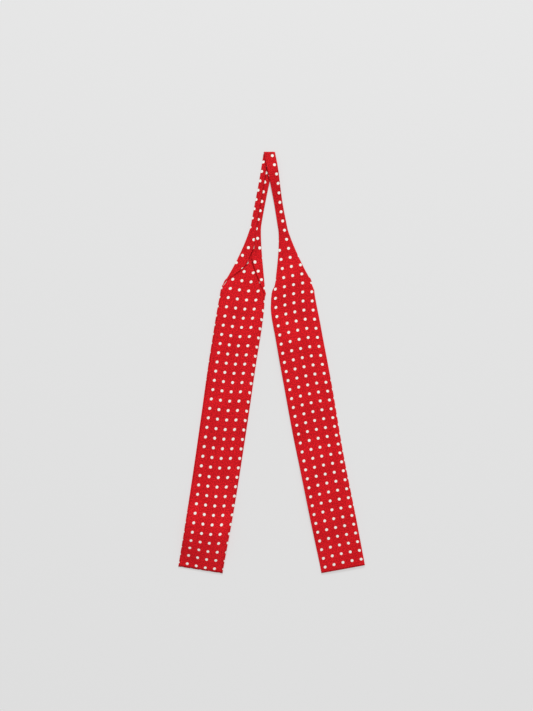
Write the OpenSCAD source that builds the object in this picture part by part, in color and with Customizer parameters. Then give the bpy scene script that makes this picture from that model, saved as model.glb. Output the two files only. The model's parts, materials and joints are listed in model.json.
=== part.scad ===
// Untied self-tie bow tie, folded in two at the middle of its neck band and laid flat.
// Each half is a folded silk strip: a narrow neck band that flares into a long square-ended blade.
// The left half lies underneath, face down. The right half crosses over it, face up.

/* [Overall] */
// Length of each half, from the centre fold to its square end
half_length = 600; // [480:5:740]
// Width of the blade at its shoulders
blade_width = 66; // [52:0.5:80]
// Width of the blade at its square end
blade_end_width = 63; // [50:0.5:80]
// Width of the neck band
band_width = 14.6; // [11:0.1:20]

/* [Flare] */
// Distance from the fold to where the band begins to widen
flare_start = 112; // [90:1:140]
// Distance from the fold to the shoulders, where the blade has its full width
shoulder_at = 200; // [165:1:250]
// How hollow the flare's edges are, where 1 is a straight taper
flare_power = 1.4; // [1:0.1:2]

/* [Lie] */
// Angle of the left band from straight down
left_band_lean = 10.5; // [7:0.1:14]
// Angle of the left blade from straight down
left_blade_lean = 8.8; // [6:0.1:14]
// Angle of the right band from straight down
right_band_lean = 8.9; // [7:0.1:14]
// Angle of the right blade from straight down
right_blade_lean = 10.5; // [6:0.1:14]
// Length over which the upper half comes down to the surface, past the crossing
ramp_length = 34; // [20:1:45]
// Clear height between the two halves where they cross
cross_gap = 0.1; // [0.05:0.05:0.3]

/* [Cloth] */
// Thickness of the silk
cloth = 0.4; // [0.2:0.05:0.6]
// Thickness of the interlining
interlining = 0.8; // [0.4:0.1:1.4]
// Thickness of the sewing thread
thread = 0.3; // [0.2:0.05:0.4]
// Thickness of the stronger thread that joins the two halves
join_thread = 0.4; // [0.3:0.05:0.6]

/* [Back] */
// Width of the centre back seam between the two folded edges
seam_gap = 0.3; // [0.2:0.05:0.6]
// Distance from the fold to the point where the two folded edges part
parting_at = 151; // [125:1:185]
// Distance from the fold to where the parting meets the half's outer edge
outer_parting_end = 188; // [150:1:230]
// Distance from the fold to where the parting meets the half's inner edge
inner_parting_end = 200; // [165:1:250]
// How far the back panel runs on under the folded edges, above the parting
panel_tuck = 12; // [5:1:25]
// Clearance round the centre join thread on the half that turns
join_clearance = 0.05; // [0.02:0.01:0.1]

/* [Hidden] */

SILK_RED = "firebrick";
LINING_WHITE = "linen";
THREAD_RED = "darkred";
FLARE_STEPS = 8;
OVERRUN = 30;
FAR = 3 * half_length;

// Depths into a half, measured from the face of its front cloth
front_depth = cloth;
lining_depth = front_depth + interlining;
panel_depth = lining_depth + cloth;
half_thickness = panel_depth + cloth;

// The fold turns about a line through the middle of the two halves' thickness
fold_radius = half_thickness + cross_gap / 2;
join_radius = join_thread / 2;

LEFT = [left_band_lean, left_blade_lean];
RIGHT = [right_band_lean, right_blade_lean];

function along(lean) = [sin(lean), -cos(lean)];
function across(lean) = [cos(lean), sin(lean)];

// A half's centre line starts at the middle of the fold, bends once at the shoulders, and runs to its end
function centre_at(leans, s) = s <= shoulder_at
    ? s * along(leans[0])
    : shoulder_at * along(leans[0]) + (s - shoulder_at) * along(leans[1]);

function across_at(leans, s) = s < shoulder_at
    ? across(leans[0])
    : s > shoulder_at ? across(leans[1]) : across((leans[0] + leans[1]) / 2);

function flare_share(s) = pow((s - flare_start) / (shoulder_at - flare_start), flare_power);
function blade_share(s) = (s - shoulder_at) / (half_length - shoulder_at);

function half_width(s) = s <= flare_start
    ? band_width / 2
    : s <= shoulder_at
        ? (band_width + (blade_width - band_width) * flare_share(s)) / 2
        : (blade_width + (blade_end_width - blade_width) * blade_share(s)) / 2;

// A point of a half in plan, at a distance from the fold and a distance out from the centre line
function plan_point(leans, s, v) = centre_at(leans, s) + v * across_at(leans, s);

// Where a half's outline needs a point, between two distances from the fold
function stations(from, to) = concat(
    [from],
    [for (i = [0:FLARE_STEPS])
        let (s = flare_start + (shoulder_at - flare_start) * i / FLARE_STEPS)
        if (s > from && s < to) s],
    [to]
);

module outline(leans, inset, from, to) {
    stops = stations(from, to);
    outer = [for (s = stops) plan_point(leans, s, half_width(s) - inset)];
    inner = [for (i = [len(stops) - 1:-1:0]) plan_point(leans, stops[i], inset - half_width(stops[i]))];
    polygon(concat(outer, inner));
}

module centre_strip(leans, width, from, to) {
    polygon([
        plan_point(leans, from, width / 2),
        plan_point(leans, to, width / 2),
        plan_point(leans, to, -width / 2),
        plan_point(leans, from, -width / 2)
    ]);
}

// The blade's back that the folded edges leave open, run on well past the outline
module parted_area(leans) {
    reach = 1.5;
    outer_arm = [outer_parting_end - parting_at, half_width(outer_parting_end)] * reach;
    inner_arm = [inner_parting_end - parting_at, half_width(inner_parting_end)] * reach;
    margin = blade_width;
    straight = [leans[0], leans[0]];
    polygon([
        plan_point(straight, parting_at, 0),
        plan_point(straight, parting_at + outer_arm[0], outer_arm[1]),
        plan_point(straight, parting_at + outer_arm[0], blade_width + margin),
        plan_point(straight, half_length + margin, blade_width + margin),
        plan_point(straight, half_length + margin, -blade_width - margin),
        plan_point(straight, parting_at + inner_arm[0], -blade_width - margin),
        plan_point(straight, parting_at + inner_arm[0], -inner_arm[1])
    ]);
}

// How far below the fold the two bands stop covering each other
crossing_end = (band_width / 2) * (1 / cos(left_band_lean) + 1 / cos(right_band_lean))
    / (tan(left_band_lean) + tan(right_band_lean));

// Heights of the underside along Y: the left half lies flat, and the right half steps down twice,
// off the left half and then off its own folded edges
left_base = [[0, 0], [-FAR, 0]];
ramp_top = crossing_end + 2;
settle_start = shoulder_at + 4;
settle_end = settle_start + 20;
right_base = [
    [0, half_thickness + cross_gap],
    [-ramp_top, half_thickness + cross_gap],
    [-ramp_top - ramp_length, 0],
    [-settle_start, 0],
    [-settle_end, -cloth],
    [-FAR, -cloth]
];

// The space between two depths of a half, as wide as the whole object
module left_slab(near, deep) {
    profile_slab(left_base, near, deep);
}

module right_slab(near, deep) {
    profile_slab(right_base, half_thickness - deep, half_thickness - near);
}

module profile_slab(base, low, high) {
    rotate([90, 0, 90])
        linear_extrude(FAR, center = true)
            polygon(concat(
                [for (p = base) [p[0], p[1] + low]],
                [for (i = [len(base) - 1:-1:0]) [base[i][0], base[i][1] + high]]
            ));
}

// The same depths carried a quarter turn round the fold, from the crease to the two halves' parting plane
module quarter_turn(near, deep, width) {
    difference() {
        translate([0, 0, fold_radius])
            rotate([0, 90, 0])
                rotate_extrude(angle = 90, $fn = 96)
                    translate([fold_radius - deep, -width / 2])
                        square([deep - near, width]);
        translate([-band_width, -1, half_thickness])
            cube([2 * band_width, fold_radius + 2, cross_gap + half_thickness]);
    }
}

module left_turn(near, deep, width) {
    quarter_turn(near, deep, width);
}

module right_turn(near, deep, width) {
    translate([0, 0, 2 * fold_radius])
        mirror([0, 0, 1])
            quarter_turn(near, deep, width);
}

module join_bore(radius) {
    translate([0, fold_radius, fold_radius])
        rotate([0, 90, 0])
            cylinder(r = radius, h = 2 * band_width, center = true, $fn = 48);
}

module plan_block(height) {
    translate([0, 0, -height / 2])
        linear_extrude(height)
            children();
}

// Each half is built leaning to the right; the left half is then mirrored
module on_left() {
    mirror([1, 0, 0])
        children();
}

// The whole object's middle in plan, taken from the blades' end corners and the fold
left_outer_corner = plan_point(LEFT, half_length, blade_end_width / 2);
right_outer_corner = plan_point(RIGHT, half_length, blade_end_width / 2);
left_inner_corner = plan_point(LEFT, half_length, -blade_end_width / 2);
right_inner_corner = plan_point(RIGHT, half_length, -blade_end_width / 2);
middle_x = (right_outer_corner[0] - left_outer_corner[0]) / 2;
lowest_y = min(left_inner_corner[1], right_inner_corner[1]);
highest_y = fold_radius + join_radius;
middle_y = (highest_y + lowest_y) / 2;

module placed() {
    translate([-middle_x, -middle_y, 0])
        children();
}

panel_start = parting_at - panel_tuck;
lining_inset = cloth + thread;
TALL = 20 * half_thickness;

module left_layer(near, deep) {
    intersection() {
        on_left() plan_block(TALL) children();
        left_slab(near, deep);
    }
}

module right_layer(near, deep) {
    intersection() {
        plan_block(TALL) children();
        right_slab(near, deep);
    }
}

// Front cloth, folded edges and the two flaps that meet along the back of the band
module left_shell() {
    color(SILK_RED) placed() {
        difference() {
            left_layer(0, half_thickness) outline(LEFT, 0, -OVERRUN, half_length);
            left_layer(front_depth, lining_depth) outline(LEFT, cloth, -OVERRUN, half_length - cloth);
            left_layer(lining_depth, panel_depth) outline(LEFT, cloth, panel_start, half_length - cloth);
            left_layer(panel_depth, half_thickness + 1) parted_area(LEFT);
            left_layer(lining_depth, half_thickness + 1) centre_strip(LEFT, seam_gap, -OVERRUN, parting_at + 1);
        }
        difference() {
            left_turn(0, half_thickness, band_width);
            left_turn(front_depth, lining_depth, band_width - 2 * cloth);
            translate([-seam_gap / 2, -1, lining_depth])
                cube([seam_gap, fold_radius - lining_depth + 1, fold_radius]);
            join_bore(join_radius);
        }
    }
}

module right_shell() {
    color(SILK_RED) placed() {
        difference() {
            right_layer(0, half_thickness) outline(RIGHT, 0, -OVERRUN, half_length);
            right_layer(front_depth, lining_depth) outline(RIGHT, cloth, -OVERRUN, half_length - cloth);
            right_layer(lining_depth, panel_depth) outline(RIGHT, cloth, panel_start, half_length - cloth);
            right_layer(panel_depth, half_thickness + 1) parted_area(RIGHT);
            right_layer(lining_depth, half_thickness + 1) centre_strip(RIGHT, seam_gap, -OVERRUN, parting_at + 1);
        }
        difference() {
            right_turn(0, half_thickness, band_width);
            right_turn(front_depth, lining_depth, band_width - 2 * cloth);
            translate([-seam_gap / 2, -1, 0])
                cube([seam_gap, fold_radius - lining_depth + 1, 2 * fold_radius - lining_depth]);
            join_bore(join_radius + join_clearance);
        }
    }
}

// Panel of the same cloth that closes the blade's back and runs up under the flaps
module left_back_panel() {
    color(SILK_RED) placed()
        left_layer(lining_depth, panel_depth) outline(LEFT, cloth, panel_start, half_length - cloth);
}

module right_back_panel() {
    color(SILK_RED) placed()
        right_layer(lining_depth, panel_depth) outline(RIGHT, cloth, panel_start, half_length - cloth);
}

// Interlining inside the band and the blade, cut a thread's width short of the folded edges
module left_interlining() {
    color(LINING_WHITE) placed() {
        left_layer(front_depth, lining_depth)
            outline(LEFT, lining_inset, -OVERRUN, half_length - lining_inset);
        left_turn(front_depth, lining_depth, band_width - 2 * lining_inset);
    }
}

module right_interlining() {
    color(LINING_WHITE) placed() {
        right_layer(front_depth, lining_depth)
            outline(RIGHT, lining_inset, -OVERRUN, half_length - lining_inset);
        right_turn(front_depth, lining_depth, band_width - 2 * lining_inset);
    }
}

// Slip stitch thread that runs between the two flaps, from near the fold to where they part
module left_back_seam_thread() {
    color(THREAD_RED) placed()
        left_layer(lining_depth, lining_depth + thread)
            centre_strip(LEFT, seam_gap, thread, panel_start);
}

module right_back_seam_thread() {
    color(THREAD_RED) placed()
        right_layer(lining_depth, lining_depth + thread)
            centre_strip(RIGHT, seam_gap, thread, panel_start);
}

// Seam thread that joins the back panel to the front cloth, inside the blade's sides and end
module edge_seam(leans) {
    difference() {
        outline(leans, cloth, shoulder_at, half_length - cloth);
        outline(leans, lining_inset, shoulder_at - OVERRUN, half_length - lining_inset);
    }
}

module left_edge_seam_thread() {
    color(THREAD_RED) placed()
        left_layer(lining_depth - thread, lining_depth) edge_seam(LEFT);
}

module right_edge_seam_thread() {
    color(THREAD_RED) placed()
        right_layer(lining_depth - thread, lining_depth) edge_seam(RIGHT);
}

// Thread of the seam that joins the two halves across the band, on the fold's outer edge
module centre_join_thread() {
    color(THREAD_RED) placed()
        intersection() {
            join_bore(join_radius);
            cube([band_width, 4 * half_length, 4 * half_length], center = true);
        }
}

left_shell();
left_back_panel();
left_interlining();
left_back_seam_thread();
left_edge_seam_thread();
right_shell();
right_back_panel();
right_interlining();
right_back_seam_thread();
right_edge_seam_thread();
centre_join_thread();
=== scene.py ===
import json
import math

import bmesh
import bpy
import numpy as np
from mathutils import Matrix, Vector

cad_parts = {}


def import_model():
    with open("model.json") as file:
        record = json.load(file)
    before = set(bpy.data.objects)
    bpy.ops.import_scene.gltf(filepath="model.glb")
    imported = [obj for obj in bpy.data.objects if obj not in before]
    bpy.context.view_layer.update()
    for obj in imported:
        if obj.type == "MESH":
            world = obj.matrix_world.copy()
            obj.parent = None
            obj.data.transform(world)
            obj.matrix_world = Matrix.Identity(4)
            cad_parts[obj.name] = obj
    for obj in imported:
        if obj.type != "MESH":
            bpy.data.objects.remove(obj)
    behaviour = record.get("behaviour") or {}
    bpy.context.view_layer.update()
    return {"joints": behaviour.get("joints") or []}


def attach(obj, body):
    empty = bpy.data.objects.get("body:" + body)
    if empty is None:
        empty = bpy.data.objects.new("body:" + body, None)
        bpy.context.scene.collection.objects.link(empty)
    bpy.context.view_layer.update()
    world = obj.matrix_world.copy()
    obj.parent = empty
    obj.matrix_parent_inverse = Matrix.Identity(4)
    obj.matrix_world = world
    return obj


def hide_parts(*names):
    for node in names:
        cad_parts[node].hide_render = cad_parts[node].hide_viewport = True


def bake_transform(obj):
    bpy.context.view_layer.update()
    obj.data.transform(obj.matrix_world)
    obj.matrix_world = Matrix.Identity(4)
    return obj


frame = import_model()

# ---------------------------------------------------------------- sizes, in metres and degrees

MM = 0.001
HALF_LENGTH = 0.600       # from the centre join to the blade's end
SHOULDER = 0.200          # from the centre join to where the blade starts
FLARE_POWER = 1.35        # above 1, the band widens late on its way to the shoulder

CLOTH = 0.0004            # thickness of the silk
SILK_MESH = 0.00034       # thickness of the modelled silk, a little under the room it has
LINING = 0.0008           # thickness of the interlining
LINING_MESH = 0.85 * LINING
THICKNESS = 3 * CLOTH + LINING
CROSS_GAP = 0.0001        # left between the halves where one lies on the other
FOLD_RADIUS = THICKNESS + CROSS_GAP / 2

# Depths from the front cloth's face: of each layer of silk's middle, and of the interlining's two faces
FRONT = CLOTH / 2
PANEL = CLOTH + LINING + CLOTH / 2
FLAP = CLOTH + LINING + 1.5 * CLOTH
LINING_NEAR, LINING_FAR = CLOTH, CLOTH + LINING

JOINT = frame["joints"][0]
HINGE_X, HINGE_Y, HINGE_Z = JOINT["pos_m"]
CREASE_Y = HINGE_Y - FOLD_RADIUS
MID_RADIUS = FOLD_RADIUS - THICKNESS / 2
QUARTER_ARC = MID_RADIUS * math.pi / 2


def ease(t):
    """A smooth step from 0 to 1 as t goes from 0 to 1."""
    t = np.clip(t, 0.0, 1.0)
    return t * t * (3 - 2 * t)


def rising(x, start, length):
    """0 up to start, then a smooth rise that reaches 1 a length further on."""
    return ease((x - start) / length)


def bump(x, middle, spread):
    """A smooth bump of height 1."""
    return np.exp(-(((x - middle) / spread) ** 2))


def curve(*points):
    """A smooth curve through (x, y) points, level beyond the first and the last."""
    xs, ys = np.array(points, float).T
    slopes = np.gradient(ys, xs)
    slopes[0] = slopes[-1] = 0

    def value(x):
        x = np.clip(x, xs[0], xs[-1])
        i = np.clip(np.searchsorted(xs, x, side="right") - 1, 0, len(xs) - 2)
        width = xs[i + 1] - xs[i]
        t = (x - xs[i]) / width
        rise = ys[i + 1] - ys[i]
        bend = (t - t ** 2) * ((1 - t) * (slopes[i] * width - rise) - t * (slopes[i + 1] * width - rise))
        return ys[i] + rise * t + bend

    return value


def millimetres(*points):
    """The same curve, with its points in millimetres and its use in metres."""
    made = curve(*points)
    return lambda x: made(np.asarray(x) / MM) * MM


# ---------------------------------------------------------------- one half of the tie

PATH_OVERRUN = 20 * MM    # how far each half's centre line is known past its two ends
TURN_LENGTH = 100 * MM    # along which the centre line turns from the band's lean to the blade's
LEANING_ROWS = 45 * MM    # from the join, where the mesh's rows lean to lie along the fold
SLOPE_STEP = 1.5 * MM
HELD_AT_JOIN = 12 * MM    # from the join, where the cloth's waves rise from nothing
CREST_LEAN = 0.12         # how far the crest runs along the blade for each step across it
CROWN = 0.35              # how much more room the layers take up in a half's middle than at its edges

# Where each of these starts, and the length in which it is complete
CROWNED = (60 * MM, 100 * MM)
LOOSE = (75 * MM, 60 * MM)          # the ripples of the loose cloth
COMING_DOWN = (46 * MM, 40 * MM)    # the right half's way down off the left one
SETTLING = (SHOULDER, 30 * MM)      # the right half's blade, which has no flaps under it

# Slow ripples of the loose cloth: share of the height, radians per metre along and outward, phase, and how
# much the phase changes from half to half
RIPPLE_HEIGHT = 1.1 * MM
RIPPLES = ((0.22, 71, 23, 0, 1), (0.17, 43, -51, 0, 2.1), (0.11, 119, 77, 0.7, 0))


class Half:
    """Where a half's cloth goes: s runs along it from the centre join to the blade's end, and v outward."""

    def __init__(self, name, out, face_up, band_lean, blade_lean, band, flare, blade, drift, waves, crest):
        self.name = name
        self.body = name + "_half"
        self.out = out
        self.face_up = face_up
        self.band_lean = math.radians(band_lean)
        self.blade_lean = math.radians(blade_lean)
        self.band_width = millimetres(*band)
        self.flare = [a * MM for a in flare]
        self.blade_width = millimetres(*blade)
        self.drift = millimetres(*drift)
        self.waves = waves
        self.crest = millimetres(*crest)
        self.path_s = np.linspace(-PATH_OVERRUN, HALF_LENGTH + PATH_OVERRUN, 641)
        angles = self.heading(self.path_s)
        step = self.path_s[1] - self.path_s[0]
        across, down = np.sin(angles) * step, np.cos(angles) * step
        self.path_x = np.concatenate([[0], np.cumsum((across[1:] + across[:-1]) / 2)])
        self.path_q = np.concatenate([[0], np.cumsum((down[1:] + down[:-1]) / 2)])
        self.path_x -= np.interp(0.0, self.path_s, self.path_x)
        self.path_q -= np.interp(0.0, self.path_s, self.path_q)

    def heading(self, s):
        """The centre line's angle outward from straight down the picture."""
        turn = rising(s, SHOULDER - TURN_LENGTH / 2, TURN_LENGTH)
        return self.band_lean + (self.blade_lean - self.band_lean) * turn

    def half_width(self, s):
        start, end = self.flare
        band, shoulder = self.band_width(s), self.blade_width(end)
        flare = band + (shoulder - band) * np.clip((s - start) / (end - start), 0, 1) ** FLARE_POWER
        return np.where(s < end, flare, self.blade_width(s))

    def slope(self, s):
        """How much wider each side gets for each step along the half."""
        return (self.half_width(s + SLOPE_STEP) - self.half_width(s - SLOPE_STEP)) / (2 * SLOPE_STEP)

    def cloth_s(self, sigma, v):
        """Rows of the mesh lean near the fold, so that the first one lies along it."""
        return sigma + v * math.tan(self.band_lean) * (1 - ease(sigma / LEANING_ROWS))

    def lift(self, s, v):
        """Height of the half's underside above the surface it lies on, in the half's own waves."""
        total = self.crest(s + CREST_LEAN * v)
        for height, middle, spread, lean in self.waves:
            total = total + height * MM * bump(s + lean * v, middle * MM, spread * MM)
        ripple = 0.5
        for share, along, outward, phase, change in RIPPLES:
            ripple = ripple + share * np.sin(s * along + v * outward + phase + change * self.out)
        return total * rising(s, 0, HELD_AT_JOIN) + RIPPLE_HEIGHT * ripple * rising(s, *LOOSE)

    def crown(self, s, v):
        edge = np.clip(np.abs(v) / self.half_width(s), 0, 1)
        return CROWN * (1 - edge ** 4) * rising(s, *CROWNED)

    def place(self, sigma, v, depth):
        """Positions in space of points given by arrays of sigma, v and depth from the front cloth's face."""
        sigma, v, depth = (np.asarray(a, float) for a in np.broadcast_arrays(sigma, v, depth))
        s = self.cloth_s(sigma, v)
        angle = self.heading(s)
        side = v + self.drift(s)
        x = np.interp(s, self.path_s, self.path_x) + side * np.cos(angle)
        q = np.interp(s, self.path_s, self.path_q) - v * np.sin(angle)
        radius = FOLD_RADIUS - depth
        turn = np.clip(q / MID_RADIUS, 0, math.pi / 2)
        bent = q < QUARTER_ARC
        y = CREASE_Y + np.where(bent, radius * np.cos(turn), QUARTER_ARC - q)
        rise = np.where(bent, radius * np.sin(turn), radius)
        own = self.lift(s, v)
        fat = 1 + self.crown(s, v)
        if self.face_up:
            step_down = (THICKNESS + CROSS_GAP) * rising(q, *COMING_DOWN)
            settle = CLOTH * rising(q, *SETTLING)
            base = FOLD_RADIUS * 2 - THICKNESS - step_down - settle
            flat_z = base + own + (THICKNESS - depth) * fat
            z = np.where(bent, HINGE_Z + rise, flat_z)
        else:
            z = np.where(bent, HINGE_Z - rise, own + depth * fat)
        return np.stack([HINGE_X + self.out * x, y, z], axis=-1)


# In millimetres and degrees: how far the band and the blade lean outward, half their widths along s, where
# the flare between them is, how far outward the centre line drifts, the waves (height, s, spread, lean) and
# the height of the crest
LEFT = Half(
    "left", out=-1, face_up=False, band_lean=10.5, blade_lean=8.75,
    band=[(0, 7.8), (20, 7.75), (42, 7.3), (105, 7.1)],
    flare=(105, 200),
    blade=[(200, 31.6), (228, 32.8), (300, 33.2), (430, 32.8), (520, 32.3), (570, 31.7), (600, 31.6)],
    drift=[(0, -0.4), (12, -0.8), (100, -0.7), (130, -1.5), (168, -1.6), (185, -0.9), (200, 0.4),
           (216, -0.1), (310, -0.2), (385, -1.1), (545, -1.1), (600, 0.0)],
    waves=[(1.2, 250, 50, 0.3), (0.8, 385, 60, -0.2)],
    crest=[(430, 0), (500, 1.8), (552, 6.6), (574, 3.7), (593, 0.3), (600, 0)],
)
RIGHT = Half(
    "right", out=1, face_up=True, band_lean=9.2, blade_lean=10.5,
    band=[(0, 7.7), (20, 7.6), (48, 6.6), (70, 5.9), (88, 6.0), (110, 6.4)],
    flare=(110, 204),
    blade=[(204, 31.0), (220, 32.3), (270, 33.0), (400, 32.9), (440, 32.2), (530, 31.9), (600, 31.2)],
    drift=[(0, 0.4), (20, 1.1), (60, 1.3), (90, 1.5), (140, 2.5), (172, 2.9), (183, 3.2), (200, 1.1),
           (214, -0.8), (260, -1.6), (340, -1.8), (424, -2.4), (500, -1.4), (560, -0.4), (600, 0.1)],
    waves=[(2.5, 28, 17, 0), (1.6, 300, 70, 0.2), (2.4, 505, 60, -0.3), (0.7, 165, 30, 0)],
    crest=[(0, 0), (600, 0)],
)

# The outer flap is side +1, the inner one side -1. How far out each one's free edge lies: along the centre
# back seam, then parting from it towards the shoulders
SEAM = ((0, 1.0), (24, 0.5), (37, -0.3), (61, -0.8), (87, -1.3), (118, -1.5))
FREE_EDGE = {
    +1: millimetres(*SEAM, (136, -1.4), (142, -0.4), (148, 1.3), (159, 3.2), (166, 6.6), (172, 11),
                    (178, 16.5), (188, 25.5), (195, 30), (215, 44)),
    -1: millimetres(*SEAM, (130, -1.7), (139, -2.8), (147, -1.4), (151, -1.9), (158, -4.5), (165, -8),
                    (179, -16.5), (200, -31), (215, -42)),
}
FLAP_END = {+1: 0.193, -1: 0.2005}  # where the free edge reaches the blade's edge
REACH_LIMIT = 2.2         # in half widths, more than any flap reaches in from the edge
REACH_HALVINGS = 40
SEAM_END = (128 * MM, 12 * MM)      # where the seam stops being sewn, and in what length
SEAM_SHADE_END = (95 * MM, 25 * MM)     # the same for the painted shade in the crease beside it
LIP_HEIGHT = {
    +1: millimetres((130, 0), (140, 1.2), (150, 1.8), (166, 1.3), (182, 0.8), (193, 0.4)),
    -1: millimetres((0, 0), (20, 0.5), (125, 0.5), (140, 1.4), (150, 2.6), (166, 2.2), (185, 1.7),
                    (201, 0.8)),
}
PRESSED_LIP = 0.1         # how much of that height is left where the half lies on its flaps
GROOVE_DEPTH = {+1: 0.8 * MM, -1: 0.2 * MM}  # how far the flaps sink beside the seam
GROOVE_WIDTH = 0.9 * MM
SEAM_SHADE_WIDTH = 0.65 * MM  # how far the painted shade beside the seam reaches, darkening the cloth's colour


def flap_reach(half, side, s):
    """Distance from the half's edge, square to it, to the flap's free edge."""
    w, slope = half.half_width(s), half.slope(s)
    k = np.sqrt(1 + slope ** 2)
    near, far = np.zeros_like(s), REACH_LIMIT * w
    for _ in range(REACH_HALVINGS):
        d = (near + far) / 2
        inside = w - d / k > side * FREE_EDGE[side](s + slope * d / k)
        near, far = np.where(inside, d, near), np.where(inside, far, d)
    return near


# ---------------------------------------------------------------- meshes from grids


def stations(*spans):
    """Distances along a half from runs of (from, to, count), each run ending where the next one starts."""
    runs = [np.linspace(a, b, n, endpoint=False) for a, b, n in spans]
    return np.concatenate(runs + [[spans[-1][1]]])


def apply_modifiers(obj):
    depsgraph = bpy.context.evaluated_depsgraph_get()
    mesh = bpy.data.meshes.new_from_object(obj.evaluated_get(depsgraph))
    obj.modifiers.clear()
    obj.data = mesh


def grid_mesh(name, points, cloth_uv, thickness, flip, crease=None):
    """A smooth sheet from rows x columns of points, with UVs in dot pitches, given for each face corner."""
    rows, cols = points.shape[:2]
    mesh = bpy.data.meshes.new(name)
    index = np.arange(rows * cols).reshape(rows, cols)
    quads, uvs = [], []
    for r in range(rows - 1):
        for c in range(cols - 1):
            quad = [(r, c), (r, c + 1), (r + 1, c + 1), (r + 1, c)]
            if flip:
                quad.reverse()
            quads.append([int(index[a]) for a in quad])
            uvs.append([cloth_uv(r, c, a[0] - r, a[1] - c) for a in quad])
    mesh.from_pydata([tuple(p) for p in points.reshape(-1, 3)], [], quads)
    layer = mesh.uv_layers.new(name="cloth")
    layer.data.foreach_set("uv", np.array(uvs, np.float32).ravel())
    # Painted seam shade, kept on the points so that the silk's material darkens its colour there
    if crease is not None:
        attribute = mesh.attributes.new("crease", "FLOAT", "POINT")
        attribute.data.foreach_set("value", np.asarray(crease, np.float32).ravel())
    mesh.validate()
    obj = bpy.data.objects.new(name, mesh)
    bpy.context.scene.collection.objects.link(obj)
    solid = obj.modifiers.new("thickness", "SOLIDIFY")
    solid.thickness = thickness
    solid.offset = 0
    solid.use_even_offset = False
    solid.use_rim = True
    apply_modifiers(obj)
    for polygon in obj.data.polygons:
        polygon.use_smooth = True
    return obj


def cut_size(v, s):
    """The width, length and area of a sheet's flat cut, from its rows x columns of points on the cloth."""
    a, b, c, d = ((v[i, j], s[i, j]) for i, j in (
        (slice(None, -1), slice(None, -1)), (slice(1, None), slice(None, -1)),
        (slice(1, None), slice(1, None)), (slice(None, -1), slice(1, None)),
    ))
    quads = (c[0] - a[0]) * (d[1] - b[1]) - (d[0] - b[0]) * (c[1] - a[1])
    return float(np.ptp(v)), float(np.ptp(s)), float(np.abs(quads).sum() / 2)


# ---------------------------------------------------------------- the cloth's dots

DOT_RADIUS = 0.153        # in pitches of the dots
COLUMN_PITCH = 13.05 * MM

# Rows of dots aren't quite even, nor quite straight, because the cloth is eased as it is sewn and pressed
ROW_PITCH = {
    "left": millimetres((0, 13.4), (60, 13.4), (115, 13.35), (150, 13.2), (250, 13.2), (320, 13.2),
                        (350, 13.4), (380, 13.6), (440, 13.8), (500, 13.3), (550, 13.0), (565, 12.0),
                        (578, 11.6), (590, 12.1)),
    "right": millimetres((0, 13.3), (105, 13.25), (130, 13.07), (320, 13.07), (345, 12.92), (460, 12.87),
                         (600, 12.6)),
}

# How far outward the middle column of dots lies, on the front and on the blade's back
FRONT_COLUMN = millimetres((0, 3.1), (22, 3.6), (40, 4.4), (60, 3.2), (85, 1.8), (105, 1.8), (142, 3.0),
                           (185, 1.7), (204, 1.3), (220, 1.1), (240, 0.3), (280, -0.6), (350, 0.1),
                           (440, 1.6), (520, 0.7), (590, 1.5))
PANEL_COLUMN = {
    "left": millimetres((160, -2.7), (172, -1.2), (199, -0.9), (213, 0.3), (240, 1.3), (280, 1.9),
                        (330, 2.2), (385, 3.2), (440, 3.0), (478, 2.8), (500, 1.9), (547, 0.7), (600, 0.2)),
    "right": millimetres((160, 4), (300, 4), (340, 1.6), (440, 0.8), (510, 0.5), (540, 1.8), (560, 3.5),
                         (600, 3.5)),
}
PANEL_FIRST_ROW = 198.8 * MM
BAND_ROWS = 15            # rows of dots above the panel's first one

# Rows tilt, bow (per metre) and, close to one edge of the blade, drop
FRONT_TILT, FRONT_BOW = 0.035, 1.6
PANEL_TILT, PANEL_BOW = 0.105, 4.3
TILT_END = (550 * MM, 30 * MM)  # where the panel's rows straighten, and in what length
BOW_END = 21 * MM         # the panel's rows bow only this far from their middle
OUTER_EDGE_DROP = millimetres((190, 1.2), (215, 1.9), (270, 1.8), (310, 1.2), (400, 0.4), (450, 0))
INNER_EDGE_DROP = millimetres((200, 3.1), (330, 2.2), (420, 1.0), (490, 0))
OUTER_DROP_START = (19 * MM, 4 * MM)  # how far from the middle column, and in what distance
INNER_DROP_START = (22 * MM, 4 * MM)
EDGE_ROW_RISE = 1.9 * MM  # how much nearer the fold the right half's rows are where they turn over its edge


def row_number(half, s, first):
    """How many rows of dots lie between the first row, at distance first, and s."""
    line = np.linspace(-1.5 * PATH_OVERRUN, HALF_LENGTH + 1.5 * PATH_OVERRUN, 661)
    density = 1 / ROW_PITCH[half.name](line)
    count = np.concatenate([[0], np.cumsum((density[1:] + density[:-1]) / 2) * (line[1] - line[0])])
    return np.interp(s, line, count) - np.interp(first, line, count)


# ---------------------------------------------------------------- the shell

# The mesh's columns over each stretch of the shell, and its runs of rows
HEM_STEPS = 3
TURN_STEPS = 4
FLAP_STEPS = 12
ROLL_STEPS = 8
FRONT_STEPS = 26
BLADE_ROWS_END = 530 * MM  # where the rows get closer, for the crest's end and the square end
SHELL_ROWS = (
    (0.0, 0.004, 8), (0.004, 0.02, 6), (0.02, 0.10, 26), (0.10, SHOULDER + 0.008, 64),
    (SHOULDER + 0.008, BLADE_ROWS_END, 84), (BLADE_ROWS_END, HALF_LENGTH, 26),
)
HEM_WIDTH = 2.2 * MM      # of the hem turned under each flap's free edge
BLADE_HEM = 0.2 * MM      # what is left of it along the blade
HEM_DROP = 0.4 * MM       # how far under the flap the hem lies
LIP = 0.25 * MM           # the least that the cloth reaches in from the rolled edge
BAND_SIDE = 20 * MM       # how far out rows follow the fold's lean
BLADE_EDGE = (-4 * MM, 10 * MM)  # from the flap's end, where the blade's edge takes over, and in what length


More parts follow.
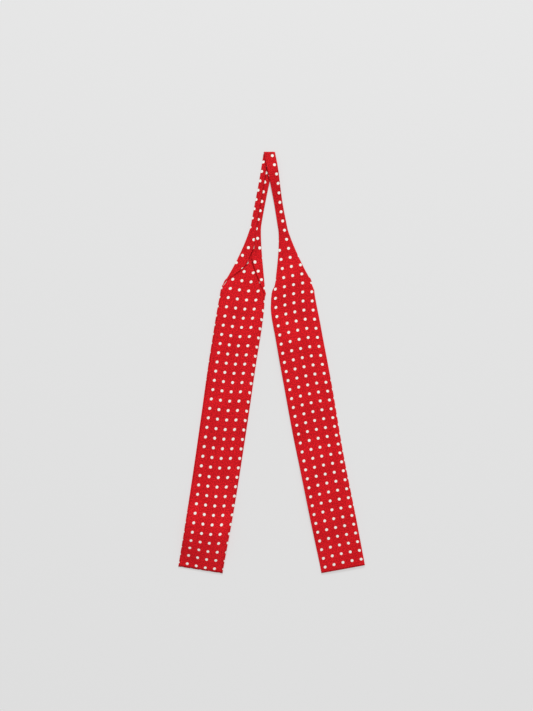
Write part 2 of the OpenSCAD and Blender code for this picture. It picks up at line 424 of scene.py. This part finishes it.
def side_profile(half, side, s):
    """Columns of points of one side of the shell, from its hidden hem to the front's edge. Each column has
    arrays over the stations: s, v and depth, the v and s that the point has on the cloth before folding, and
    how much painted shade it gets in the seam's crease, from 0 to 1."""
    w, slope = half.half_width(s), half.slope(s)
    k = np.sqrt(1 + slope ** 2)
    on_blade = rising(s - FLAP_END[side], *BLADE_EDGE)
    back = FLAP + (PANEL - FLAP) * on_blade
    radius = (back - FRONT) / 2
    middle = (back + FRONT) / 2
    reach = np.maximum(flap_reach(half, side, s), radius + LIP)
    edge_s = s + slope * reach / k
    lip = LIP_HEIGHT[side](edge_s) * (1 - on_blade) * (PRESSED_LIP if half.face_up else 1)
    sewn = 1 - rising(edge_s, *SEAM_END)
    painted_shade_along_seam = 1 - rising(edge_s, *SEAM_SHADE_END)
    columns = []

    def at(distance, depth, cloth_distance=None):
        d = distance if cloth_distance is None else cloth_distance
        # Painted shade: the cloth's colour is darkened in the seam's crease, where it would lie in shadow
        crease = painted_shade_along_seam * bump(distance, reach, SEAM_SHADE_WIDTH)
        columns.append((
            s + slope * distance / k, side * (w - distance / k), depth,
            side * (w + d / k), s - slope * d / k, crease,
        ))

    def surface(distance):
        share = np.clip((distance - radius) / np.maximum(reach - radius, 1e-6), 0, 1)
        groove = GROOVE_DEPTH[side] * sewn * bump(distance, reach, GROOVE_WIDTH)
        return back + lip * share ** 3 - groove

    hem = HEM_WIDTH * (1 - on_blade) + BLADE_HEM * on_blade
    turn = HEM_DROP / 2
    for i in range(HEM_STEPS):
        inward = hem * (1 - i / HEM_STEPS)
        distance = reach - turn - inward
        at(distance, surface(distance) - HEM_DROP, reach + inward)
    top = surface(reach - turn)
    for i in range(TURN_STEPS):
        a = math.pi * i / TURN_STEPS
        at(reach - turn + turn * math.sin(a), top - turn - turn * math.cos(a), reach)
    for i in range(FLAP_STEPS):
        share = (i / FLAP_STEPS) ** 1.4
        distance = reach - turn + (radius - reach + turn) * share
        at(distance, surface(distance))
    for i in range(ROLL_STEPS // 2):
        a = math.pi / 2 * (1 - i / (ROLL_STEPS / 2))
        at(radius * (1 - math.cos(a)), middle + radius * math.sin(a))
    for i in range(ROLL_STEPS // 2):
        a = -math.pi / 2 * i / (ROLL_STEPS / 2)
        distance = radius * (1 - math.cos(a))
        v = side * (w - distance)
        columns.append((s, v, middle + radius * math.sin(a), v, s, np.zeros_like(s)))
    return columns, radius


def shell(half, first_row, eased_outer, outer_rows, eased_inner, inner_rows):
    """The front cloth, its edges and both flaps: one folded sheet."""
    s = stations(*SHELL_ROWS)
    outer, outer_radius = side_profile(half, +1, s)
    inner, inner_radius = side_profile(half, -1, s)
    w = half.half_width(s)
    front = []
    for i in range(FRONT_STEPS + 1):
        share = i / FRONT_STEPS
        v = (w - outer_radius) * (1 - share) - (w - inner_radius) * share
        front.append((s, v, np.full_like(s, FRONT), v, s, np.zeros_like(s)))
    columns = outer + front + inner[::-1]
    table = [np.stack([np.broadcast_to(col[i], s.shape) for col in columns], axis=1) for i in range(6)]
    sigma, v, depth, cloth_v, cloth_sigma, crease = table
    cloth_s = half.cloth_s(cloth_sigma, np.clip(cloth_v, -BAND_SIDE, BAND_SIDE))
    points = half.place(sigma, v, depth)
    middle_column = FRONT_COLUMN(cloth_s) if half.face_up else np.zeros_like(cloth_s)
    from_middle = cloth_v - middle_column
    skew = np.zeros_like(cloth_s)
    if half.face_up:
        edge_drop = OUTER_EDGE_DROP(cloth_s) * rising(from_middle, *OUTER_DROP_START)
        skew = FRONT_BOW * from_middle ** 2 - FRONT_TILT * from_middle + edge_drop
    plain = from_middle / COLUMN_PITCH, row_number(half, cloth_s - skew, first_row)
    outer_flap = (
        (from_middle + eased_outer(cloth_s)) / COLUMN_PITCH,
        row_number(half, cloth_s - skew - outer_rows(cloth_s), first_row),
    )
    inner_flap = (
        (from_middle + eased_inner(sigma)) / COLUMN_PITCH,
        row_number(half, cloth_s - skew - inner_rows(sigma), first_row),
    )
    blade_edge = panel_dots(half, v, sigma)
    on_flap = HEM_STEPS + TURN_STEPS + FLAP_STEPS + ROLL_STEPS // 2
    last_front = len(columns) - 1 - on_flap
    first_front = on_flap
    if half.face_up:
        first_front += ROLL_STEPS // 2
        blade_edge = blade_edge[0], row_number(half, cloth_s - skew + EDGE_ROW_RISE, first_row)

    def uv(r, c, dr, dc):
        on_blade = s[r] > FLAP_END[+1]
        side = 1 if c < (first_front if on_blade else on_flap) else 0 if c < last_front else -1
        if side == 0:
            across, row = plain
        elif s[r] > FLAP_END[side]:
            across, row = blade_edge
        else:
            across, row = outer_flap if side > 0 else inner_flap
        return across[r + dr, c + dc], row[r + dr, c + dc]

    silk = grid_mesh(half.name + "_silk", points, uv, SILK_MESH, flip=half.out < 0, crease=crease)
    return silk, cut_size(cloth_v, cloth_sigma)


def panel_dots(half, v, s):
    """The columns and rows of the dots on the blade's back, at points across and along it."""
    from_middle = v - PANEL_COLUMN[half.name](s) + COLUMN_PITCH / 2
    tilt = PANEL_TILT * (1 - rising(s, *TILT_END))
    bow = PANEL_BOW * np.minimum(np.abs(from_middle), BOW_END) ** 2
    edge_drop = INNER_EDGE_DROP(s) * rising(-from_middle, *INNER_DROP_START)
    skew = tilt * from_middle - bow + edge_drop
    return from_middle / COLUMN_PITCH, row_number(half, s - skew, PANEL_FIRST_ROW) + BAND_ROWS


# ---------------------------------------------------------------- the back panel and the interlining

PANEL_COLUMNS = 26
PANEL_ROWS = (
    (0.139, SHOULDER, 26), (SHOULDER, BLADE_ROWS_END, 84), (BLADE_ROWS_END, HALF_LENGTH - 0.8 * MM, 26),
)
PANEL_INSET = 1.0 * MM    # from the half's edge, along the blade
COVERED_INSET = 1.2 * MM  # and that much more under the flaps
COVERED_END = (SHOULDER - 6 * MM, 6 * MM)
SUNK_EDGE = 0.25 * MM     # how far the panel's edges go in under the rolled edge
SUNK_FROM = (0.93, 0.07)  # as shares of the panel's half width
SUNK_TOP = 0.35 * MM      # how far its top end lies under the flaps
TOP_END = (150 * MM, 20 * MM)

LINING_COLUMNS = 16
LINING_INSET = 1.2 * MM   # from the half's edges and end
LINING_ROWS = ((0.0025, 0.02, 7), (0.02, HALF_LENGTH - LINING_INSET, 170))


def panel(half):
    """The back panel: the blade's back, from under the flaps to the square end."""
    s = stations(*PANEL_ROWS)
    w = half.half_width(s)
    inset = PANEL_INSET + COVERED_INSET * (1 - rising(s, *COVERED_END))
    columns = np.linspace(-1, 1, PANEL_COLUMNS + 1)
    v = (w - inset)[:, None] * columns[None, :]
    sigma = np.broadcast_to(s[:, None], v.shape)
    sunk_edge = SUNK_EDGE * rising(np.abs(columns), *SUNK_FROM)[None, :]
    sunk_top = SUNK_TOP * (1 - rising(s, *TOP_END))[:, None]
    depth = PANEL - sunk_edge - sunk_top
    points = half.place(sigma, v, depth)
    across, row = panel_dots(half, v, sigma)

    def uv(r, c, dr, dc):
        return across[r + dr, c + dc], row[r + dr, c + dc]

    back = grid_mesh(half.name + "_panel", points, uv, SILK_MESH, flip=half.out > 0)
    return back, cut_size(v, sigma)


def lining(half):
    """The interlining: one thick woven layer inside band and blade, a little short of the centre join."""
    s = stations(*LINING_ROWS)
    w = half.half_width(s) - LINING_INSET
    v = w[:, None] * np.linspace(-1, 1, LINING_COLUMNS + 1)[None, :]
    sigma = np.broadcast_to(s[:, None], v.shape)
    points = half.place(sigma, v, np.full(v.shape, (LINING_NEAR + LINING_FAR) / 2))

    def uv(r, c, dr, dc):
        return v[r + dr, c + dc] / COLUMN_PITCH, sigma[r + dr, c + dc] / COLUMN_PITCH

    inside = grid_mesh(half.name + "_lining", points, uv, LINING_MESH, flip=half.out > 0)
    return inside, cut_size(v, sigma)


# ---------------------------------------------------------------- threads

THREAD_RADIUS = 0.13 * MM
THREAD_SIDES = 6


def thread_tube(name, line):
    """A closed tube along a line of points."""
    line = np.asarray(line, float)
    tangent = np.gradient(line, axis=0)
    tangent /= np.linalg.norm(tangent, axis=1)[:, None]
    up = np.array([0.0, 0.0, 1.0])
    side = np.cross(tangent, up)
    side /= np.maximum(np.linalg.norm(side, axis=1), 1e-9)[:, None]
    other = np.cross(side, tangent)
    mesh = bmesh.new()
    rings = []
    for p, a, b in zip(line, side, other):
        ring = []
        for i in range(THREAD_SIDES):
            t = 2 * math.pi * i / THREAD_SIDES
            ring.append(mesh.verts.new(p + THREAD_RADIUS * (a * math.cos(t) + b * math.sin(t))))
        rings.append(ring)
    for one, two in zip(rings, rings[1:]):
        for i in range(THREAD_SIDES):
            n = (i + 1) % THREAD_SIDES
            mesh.faces.new((one[i], one[n], two[n], two[i]))
    mesh.faces.new(rings[0][::-1])
    mesh.faces.new(rings[-1])
    bmesh.ops.recalc_face_normals(mesh, faces=mesh.faces)
    data = bpy.data.meshes.new(name)
    mesh.to_mesh(data)
    mesh.free()
    for polygon in data.polygons:
        polygon.use_smooth = True
    obj = bpy.data.objects.new(name, data)
    bpy.context.scene.collection.objects.link(obj)
    return obj


def back_seam_thread(half):
    """Slip stitches: the thread runs inside one flap's folded edge, then crosses the seam to the other's."""
    start, end, gap = 0.006, 0.134, 0.0005
    stitch, reach, under_flaps = 5 * MM, 0.45 * MM, 0.1 * MM
    s = np.arange(start, end, gap)
    swing = reach * np.clip(3 * np.sin(s * math.pi / stitch), -1, 1)
    line = half.place(s, FREE_EDGE[-1](s) + swing, np.full_like(s, PANEL - under_flaps))
    return thread_tube(half.name + "_slip_stitches", line)


def edge_seam_thread(half):
    """The seam round the blade's two sides and its end: hidden fine stitches just inside the edge."""
    inset, swing, under_panel = 0.88 * MM, 0.09 * MM, 0.3 * MM
    down = np.arange(SHOULDER + 0.004, HALF_LENGTH - LINING_INSET, 0.001)
    w = half.half_width(down) - inset
    end_w = float(w[-1])
    over = np.arange(end_w - 0.001, -end_w + 0.0005, -0.001)
    s = np.concatenate([down, np.full_like(over, down[-1]), down[::-1]])
    v = np.concatenate([w, over, -w[::-1]])
    wave = swing * np.sin(np.arange(len(s)) * 2.1)
    line = half.place(s, v, LINING_FAR - under_panel + wave)
    return thread_tube(half.name + "_edge_stitches", line)


def join_thread():
    """The stitches of the seam that joins the two halves, along the fold's outer edge."""
    stitch, swing, inset = 1.6 * MM, 0.12 * MM, 0.05 * MM
    width = LEFT.half_width(np.asarray(0.0)) - 0.0006
    x = np.arange(-width, width, 0.00025)
    y = HINGE_Y - inset + swing * np.sin(x * 2 * math.pi / stitch)
    line = np.stack([HINGE_X + x, y, np.full_like(x, HINGE_Z)], axis=1)
    return thread_tube("join_stitches", line)


# ---------------------------------------------------------------- materials


class Nodes:
    """Short calls for building a material's nodes."""

    def __init__(self, name):
        self.material = bpy.data.materials.new(name)
        self.material.use_nodes = True
        self.tree = self.material.node_tree
        self.tree.nodes.clear()

    def add(self, kind, **settings):
        made = self.tree.nodes.new(kind)
        for key, value in settings.items():
            setattr(made, key, value)
        return made

    def link(self, source, target):
        self.tree.links.new(source, target)

    def put(self, value, socket):
        if isinstance(value, bpy.types.NodeSocket):
            self.link(value, socket)
        else:
            socket.default_value = value

    def maths(self, operation, a, b=0.0, c=0.0):
        node = self.add("ShaderNodeMath", operation=operation)
        for value, socket in zip((a, b, c), node.inputs):
            self.put(value, socket)
        return node.outputs[0]

    def ramp(self, value, low, high, out_low=0.0, out_high=1.0):
        node = self.add("ShaderNodeMapRange", interpolation_type="SMOOTHSTEP")
        for v, socket in zip((value, low, high, out_low, out_high), node.inputs):
            self.put(v, socket)
        return node.outputs[0]

    def mix(self, factor, a, b, blend="MIX"):
        node = self.add("ShaderNodeMix", data_type="RGBA", blend_type=blend)
        self.put(factor, node.inputs[0])
        self.put(a, node.inputs[6])
        self.put(b, node.inputs[7])
        return node.outputs[2]

    def noise(self, vector, scale, detail):
        node = self.add("ShaderNodeTexNoise")
        self.put(vector, node.inputs["Vector"])
        node.inputs["Scale"].default_value = scale
        node.inputs["Detail"].default_value = detail
        return node.outputs[0]


RED = (0.735, 0.0130, 0.0195, 1)
DEEP_RED = (0.65, 0.0105, 0.016, 1)
IVORY = (0.93, 0.94, 0.88, 1)
IVORY_SHADE = (0.86, 0.87, 0.80, 1)
PAINTED_SHADE_ROWS = (6.5, 13.0)  # the row of dots up to which the band has painted shade, a little darker, and where that ends


def silk_material():
    n = Nodes("dotted_silk")
    uv = n.add("ShaderNodeUVMap", uv_map="cloth").outputs[0]
    parts = n.add("ShaderNodeSeparateXYZ")
    n.link(uv, parts.inputs[0])
    u, v = parts.outputs[0], parts.outputs[1]

    # Twill lines and single yarns
    lines_per_pitch = 27.0
    diagonal = n.maths("ADD", n.maths("MULTIPLY", u, 0.83), n.maths("MULTIPLY", v, 0.56))
    twill = n.maths("SINE", n.maths("MULTIPLY", diagonal, 2 * math.pi * lines_per_pitch))
    twill = n.maths("MULTIPLY_ADD", twill, 0.5, 0.5)
    squeezed = n.add("ShaderNodeMapping")
    n.link(uv, squeezed.inputs[0])
    squeezed.inputs[3].default_value = (52.0, 5.0, 1.0)
    yarn = n.noise(squeezed.outputs[0], 1.6, 2.0)
    slow = n.noise(uv, 0.45, 3.0)
    grain = n.noise(uv, 8.5, 3.0)

    # Dots on a square grid, with slightly uneven woven edges
    wobble = n.noise(uv, 14.0, 1.0)
    du = n.maths("SUBTRACT", n.maths("FRACT", n.maths("ADD", u, 100.5)), 0.5)
    dv = n.maths("SUBTRACT", n.maths("FRACT", n.maths("ADD", v, 100.5)), 0.5)
    square = n.maths("ADD", n.maths("MULTIPLY", du, du), n.maths("MULTIPLY", dv, dv))
    distance = n.maths("SQRT", square)
    distance = n.maths("MULTIPLY_ADD", n.maths("SUBTRACT", wobble, 0.5), 0.035, distance)
    dot = n.ramp(distance, DOT_RADIUS + 0.014, DOT_RADIUS - 0.014)

    ground = n.mix(n.ramp(slow, 0.3, 0.7), RED, DEEP_RED)
    shade = n.maths("MULTIPLY_ADD", twill, 0.10, 0.90)
    shade = n.maths("MULTIPLY", shade, n.maths("MULTIPLY_ADD", yarn, 0.16, 0.92))
    shade = n.maths("MULTIPLY", shade, n.ramp(grain, 0.30, 0.70, 0.60, 1.38))
    # Painted shade: the band near the fold is made a little darker
    shade = n.maths("MULTIPLY", shade, n.ramp(v, *PAINTED_SHADE_ROWS, 0.86, 1.0))
    # Painted shade: the colour is darkened beside the seam, in its crease
    crease = n.add("ShaderNodeAttribute", attribute_name="crease").outputs["Fac"]
    shade = n.maths("MULTIPLY", shade, n.maths("MULTIPLY_ADD", crease, -0.38, 1.0))
    shade_colour = n.add("ShaderNodeCombineColor")
    for socket in shade_colour.inputs[:3]:
        n.link(shade, socket)
    ground = n.mix(1.0, ground, shade_colour.outputs[0], "MULTIPLY")
    pale = n.mix(n.maths("MULTIPLY", twill, 0.5), IVORY, IVORY_SHADE)
    colour = n.mix(dot, ground, pale)

    height = n.maths("MULTIPLY_ADD", yarn, 0.5, twill)
    height = n.maths("MULTIPLY_ADD", dot, 0.5, height)
    relief = n.add("ShaderNodeBump")
    relief.inputs["Strength"].default_value = 0.35
    relief.inputs["Distance"].default_value = 0.00006
    n.link(height, relief.inputs["Height"])

    surface = n.add("ShaderNodeBsdfPrincipled")
    n.link(colour, surface.inputs["Base Color"])
    n.link(relief.outputs[0], surface.inputs["Normal"])
    n.link(n.maths("MULTIPLY_ADD", yarn, 0.12, 0.50), surface.inputs["Roughness"])
    surface.inputs["Specular IOR Level"].default_value = 0.22
    surface.inputs["Specular Tint"].default_value = (1.0, 0.16, 0.18, 1)
    surface.inputs["Sheen Weight"].default_value = 0.03
    surface.inputs["Sheen Roughness"].default_value = 0.35
    surface.inputs["Sheen Tint"].default_value = (1.0, 0.3, 0.32, 1)
    out = n.add("ShaderNodeOutputMaterial")
    n.link(surface.outputs[0], out.inputs[0])
    return n.material


def lining_material():
    n = Nodes("interlining")
    uv = n.add("ShaderNodeUVMap", uv_map="cloth").outputs[0]
    parts = n.add("ShaderNodeSeparateXYZ")
    n.link(uv, parts.inputs[0])
    yarns = 16.0
    warp = n.maths("SINE", n.maths("MULTIPLY", parts.outputs[0], 2 * math.pi * yarns))
    weft = n.maths("SINE", n.maths("MULTIPLY", parts.outputs[1], 2 * math.pi * yarns))
    weave = n.maths("MULTIPLY_ADD", n.maths("MULTIPLY", warp, weft), 0.5, 0.5)
    fuzz = n.noise(uv, 30.0, 4.0)
    colour = n.mix(n.maths("MULTIPLY", weave, 0.6), (0.80, 0.77, 0.68, 1), (0.62, 0.58, 0.49, 1))
    colour = n.mix(n.maths("MULTIPLY", fuzz, 0.3), colour, (0.9, 0.88, 0.82, 1))
    relief = n.add("ShaderNodeBump")
    relief.inputs["Strength"].default_value = 0.6
    relief.inputs["Distance"].default_value = 0.0002
    n.link(n.maths("ADD", weave, fuzz), relief.inputs["Height"])
    surface = n.add("ShaderNodeBsdfPrincipled")
    n.link(colour, surface.inputs["Base Color"])
    n.link(relief.outputs[0], surface.inputs["Normal"])
    surface.inputs["Roughness"].default_value = 0.9
    surface.inputs["Sheen Weight"].default_value = 0.2
    out = n.add("ShaderNodeOutputMaterial")
    n.link(surface.outputs[0], out.inputs[0])
    return n.material


def thread_material():
    n = Nodes("sewing_thread")
    place = n.add("ShaderNodeTexCoord").outputs["Object"]
    twist = n.add("ShaderNodeTexWave", wave_type="BANDS", bands_direction="DIAGONAL")
    n.link(place, twist.inputs["Vector"])
    twist.inputs["Scale"].default_value = 900.0
    twist.inputs["Distortion"].default_value = 1.0
    colour = n.mix(twist.outputs["Fac"], (0.42, 0.010, 0.014, 1), (0.60, 0.02, 0.026, 1))
    relief = n.add("ShaderNodeBump")
    relief.inputs["Strength"].default_value = 0.5
    relief.inputs["Distance"].default_value = 0.00005
    n.link(twist.outputs["Fac"], relief.inputs["Height"])
    surface = n.add("ShaderNodeBsdfPrincipled")
    n.link(colour, surface.inputs["Base Color"])
    n.link(relief.outputs[0], surface.inputs["Normal"])
    surface.inputs["Roughness"].default_value = 0.5
    out = n.add("ShaderNodeOutputMaterial")
    n.link(surface.outputs[0], out.inputs[0])
    return n.material


SILK = silk_material()
WOVEN = lining_material()
THREAD = thread_material()

# ---------------------------------------------------------------- the pieces on their bodies


def crosses_fold(piece):
    """A piece that reaches the centre join: its placement is baked into its mesh."""
    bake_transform(piece)


def finish_piece(piece, material, slot_name, *nodes):
    piece.data.materials.clear()
    piece.data.materials.append(material)
    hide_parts(*nodes)


# How far the left half's flaps are eased against its front, so that their dots shift outward and along
EASED_OUTER = millimetres((0, 3.9), (15, 4.0), (60, 5.3), (100, 6.0), (110, 6.1), (124, 6.3), (137, 6.3),
                          (160, 5.9), (188, 5.9), (215, 6.0))
OUTER_ROWS = millimetres((100, 0), (112, -0.1), (124, -0.8), (150, -0.6), (170, -0.4), (190, 0))
EASED_INNER = millimetres((0, 2.0), (29, 1.5), (43, 0.7), (56, -0.1), (70, -0.9), (83, -1.1), (97, -0.8),
                          (110, 0.8), (124, 1.2), (137, 1.65), (157, 1.4), (183, 2.1), (200, 2.2))
INNER_ROWS = millimetres((30, 0.3), (97, 0.35), (110, -1.0), (124, -1.35), (138, -1.1), (156, 1.9),
                         (183, 1.9))
NOT_EASED = millimetres((0, 0), (600, 0))

# Where each half's first row of dots is, and how its outer and its inner flap are eased
DOTS = {
    "left": (15.9 * MM, EASED_OUTER, OUTER_ROWS, EASED_INNER, INNER_ROWS),
    "right": (5.9 * MM, NOT_EASED, NOT_EASED, NOT_EASED, NOT_EASED),
}

for half in (LEFT, RIGHT):
    silk, cut = shell(half, *DOTS[half.name])
    finish_piece(silk, SILK, "dotted_silk", half.name + "_shell")
    crosses_fold(silk)

    back, cut = panel(half)
    finish_piece(back, SILK, "dotted_silk", half.name + "_back_panel")
    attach(back, half.body)

    inside, cut = lining(half)
    finish_piece(inside, WOVEN, "interlining", half.name + "_interlining")
    crosses_fold(inside)

    seam = back_seam_thread(half)
    finish_piece(seam, THREAD, "sewing_thread", half.name + "_back_seam_thread")
    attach(seam, half.body)

    edge = edge_seam_thread(half)
    finish_piece(edge, THREAD, "sewing_thread", half.name + "_edge_seam_thread")
    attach(edge, half.body)

join = join_thread()
finish_piece(join, THREAD, "sewing_thread", "centre_join_thread")
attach(join, "left_half")

# ---------------------------------------------------------------- floor, light and camera

FLOOR_Z = -0.4 * MM       # just clear of the cloth, so that the two never share a plane
FLOOR_GREY = (0.26, 0.26, 0.26, 1)
FLOOR_GLOW = 0.52         # keeps the floor as pale as the photo's background, under a faint contact shadow
CAMERA_AIM = (-0.0067, 0.0108)  # the point of the floor straight below the camera
PICTURE_HEIGHT = 1.0078   # how much of the floor the picture shows


def floor():
    mesh = bmesh.new()
    bmesh.ops.create_grid(mesh, x_segments=8, y_segments=8, size=6.0)
    data = bpy.data.meshes.new("floor")
    mesh.to_mesh(data)
    mesh.free()
    obj = bpy.data.objects.new("floor", data)
    obj.location = (0, 0, FLOOR_Z)
    bpy.context.scene.collection.objects.link(obj)
    n = Nodes("floor")
    surface = n.add("ShaderNodeBsdfPrincipled")
    surface.inputs["Base Color"].default_value = FLOOR_GREY
    surface.inputs["Roughness"].default_value = 0.95
    surface.inputs["Specular IOR Level"].default_value = 0.0
    surface.inputs["Emission Color"].default_value = (1, 1, 1, 1)
    surface.inputs["Emission Strength"].default_value = FLOOR_GLOW
    out = n.add("ShaderNodeOutputMaterial")
    n.link(surface.outputs[0], out.inputs[0])
    data.materials.append(n.material)


def soft_light(name, location, size, power):
    data = bpy.data.lights.new(name, "AREA")
    data.shape = "DISK"
    data.size = size
    data.energy = power
    obj = bpy.data.objects.new(name, data)
    obj.location = location
    obj.rotation_euler = Vector(location).to_track_quat("Z", "Y").to_euler()
    bpy.context.scene.collection.objects.link(obj)


def world(strength):
    made = bpy.data.worlds.new("studio")
    made.use_nodes = True
    made.node_tree.nodes["Background"].inputs[0].default_value = (1, 1, 1, 1)
    made.node_tree.nodes["Background"].inputs[1].default_value = strength
    bpy.context.scene.world = made


def camera():
    """Straight above, with the tie a little below and right of the picture's middle, as in the photo."""
    data = bpy.data.cameras.new("camera")
    data.lens = 85
    data.sensor_width = 36
    data.clip_end = 50
    obj = bpy.data.objects.new("camera", data)
    obj.location = (*CAMERA_AIM, PICTURE_HEIGHT * data.lens / data.sensor_width)
    bpy.context.scene.collection.objects.link(obj)
    bpy.context.scene.camera = obj


floor()
world(0.42)
soft_light("key", (0.5, 3.2, 3.0), 1.4, 150)
camera()
bpy.context.scene.view_settings.view_transform = "Standard"
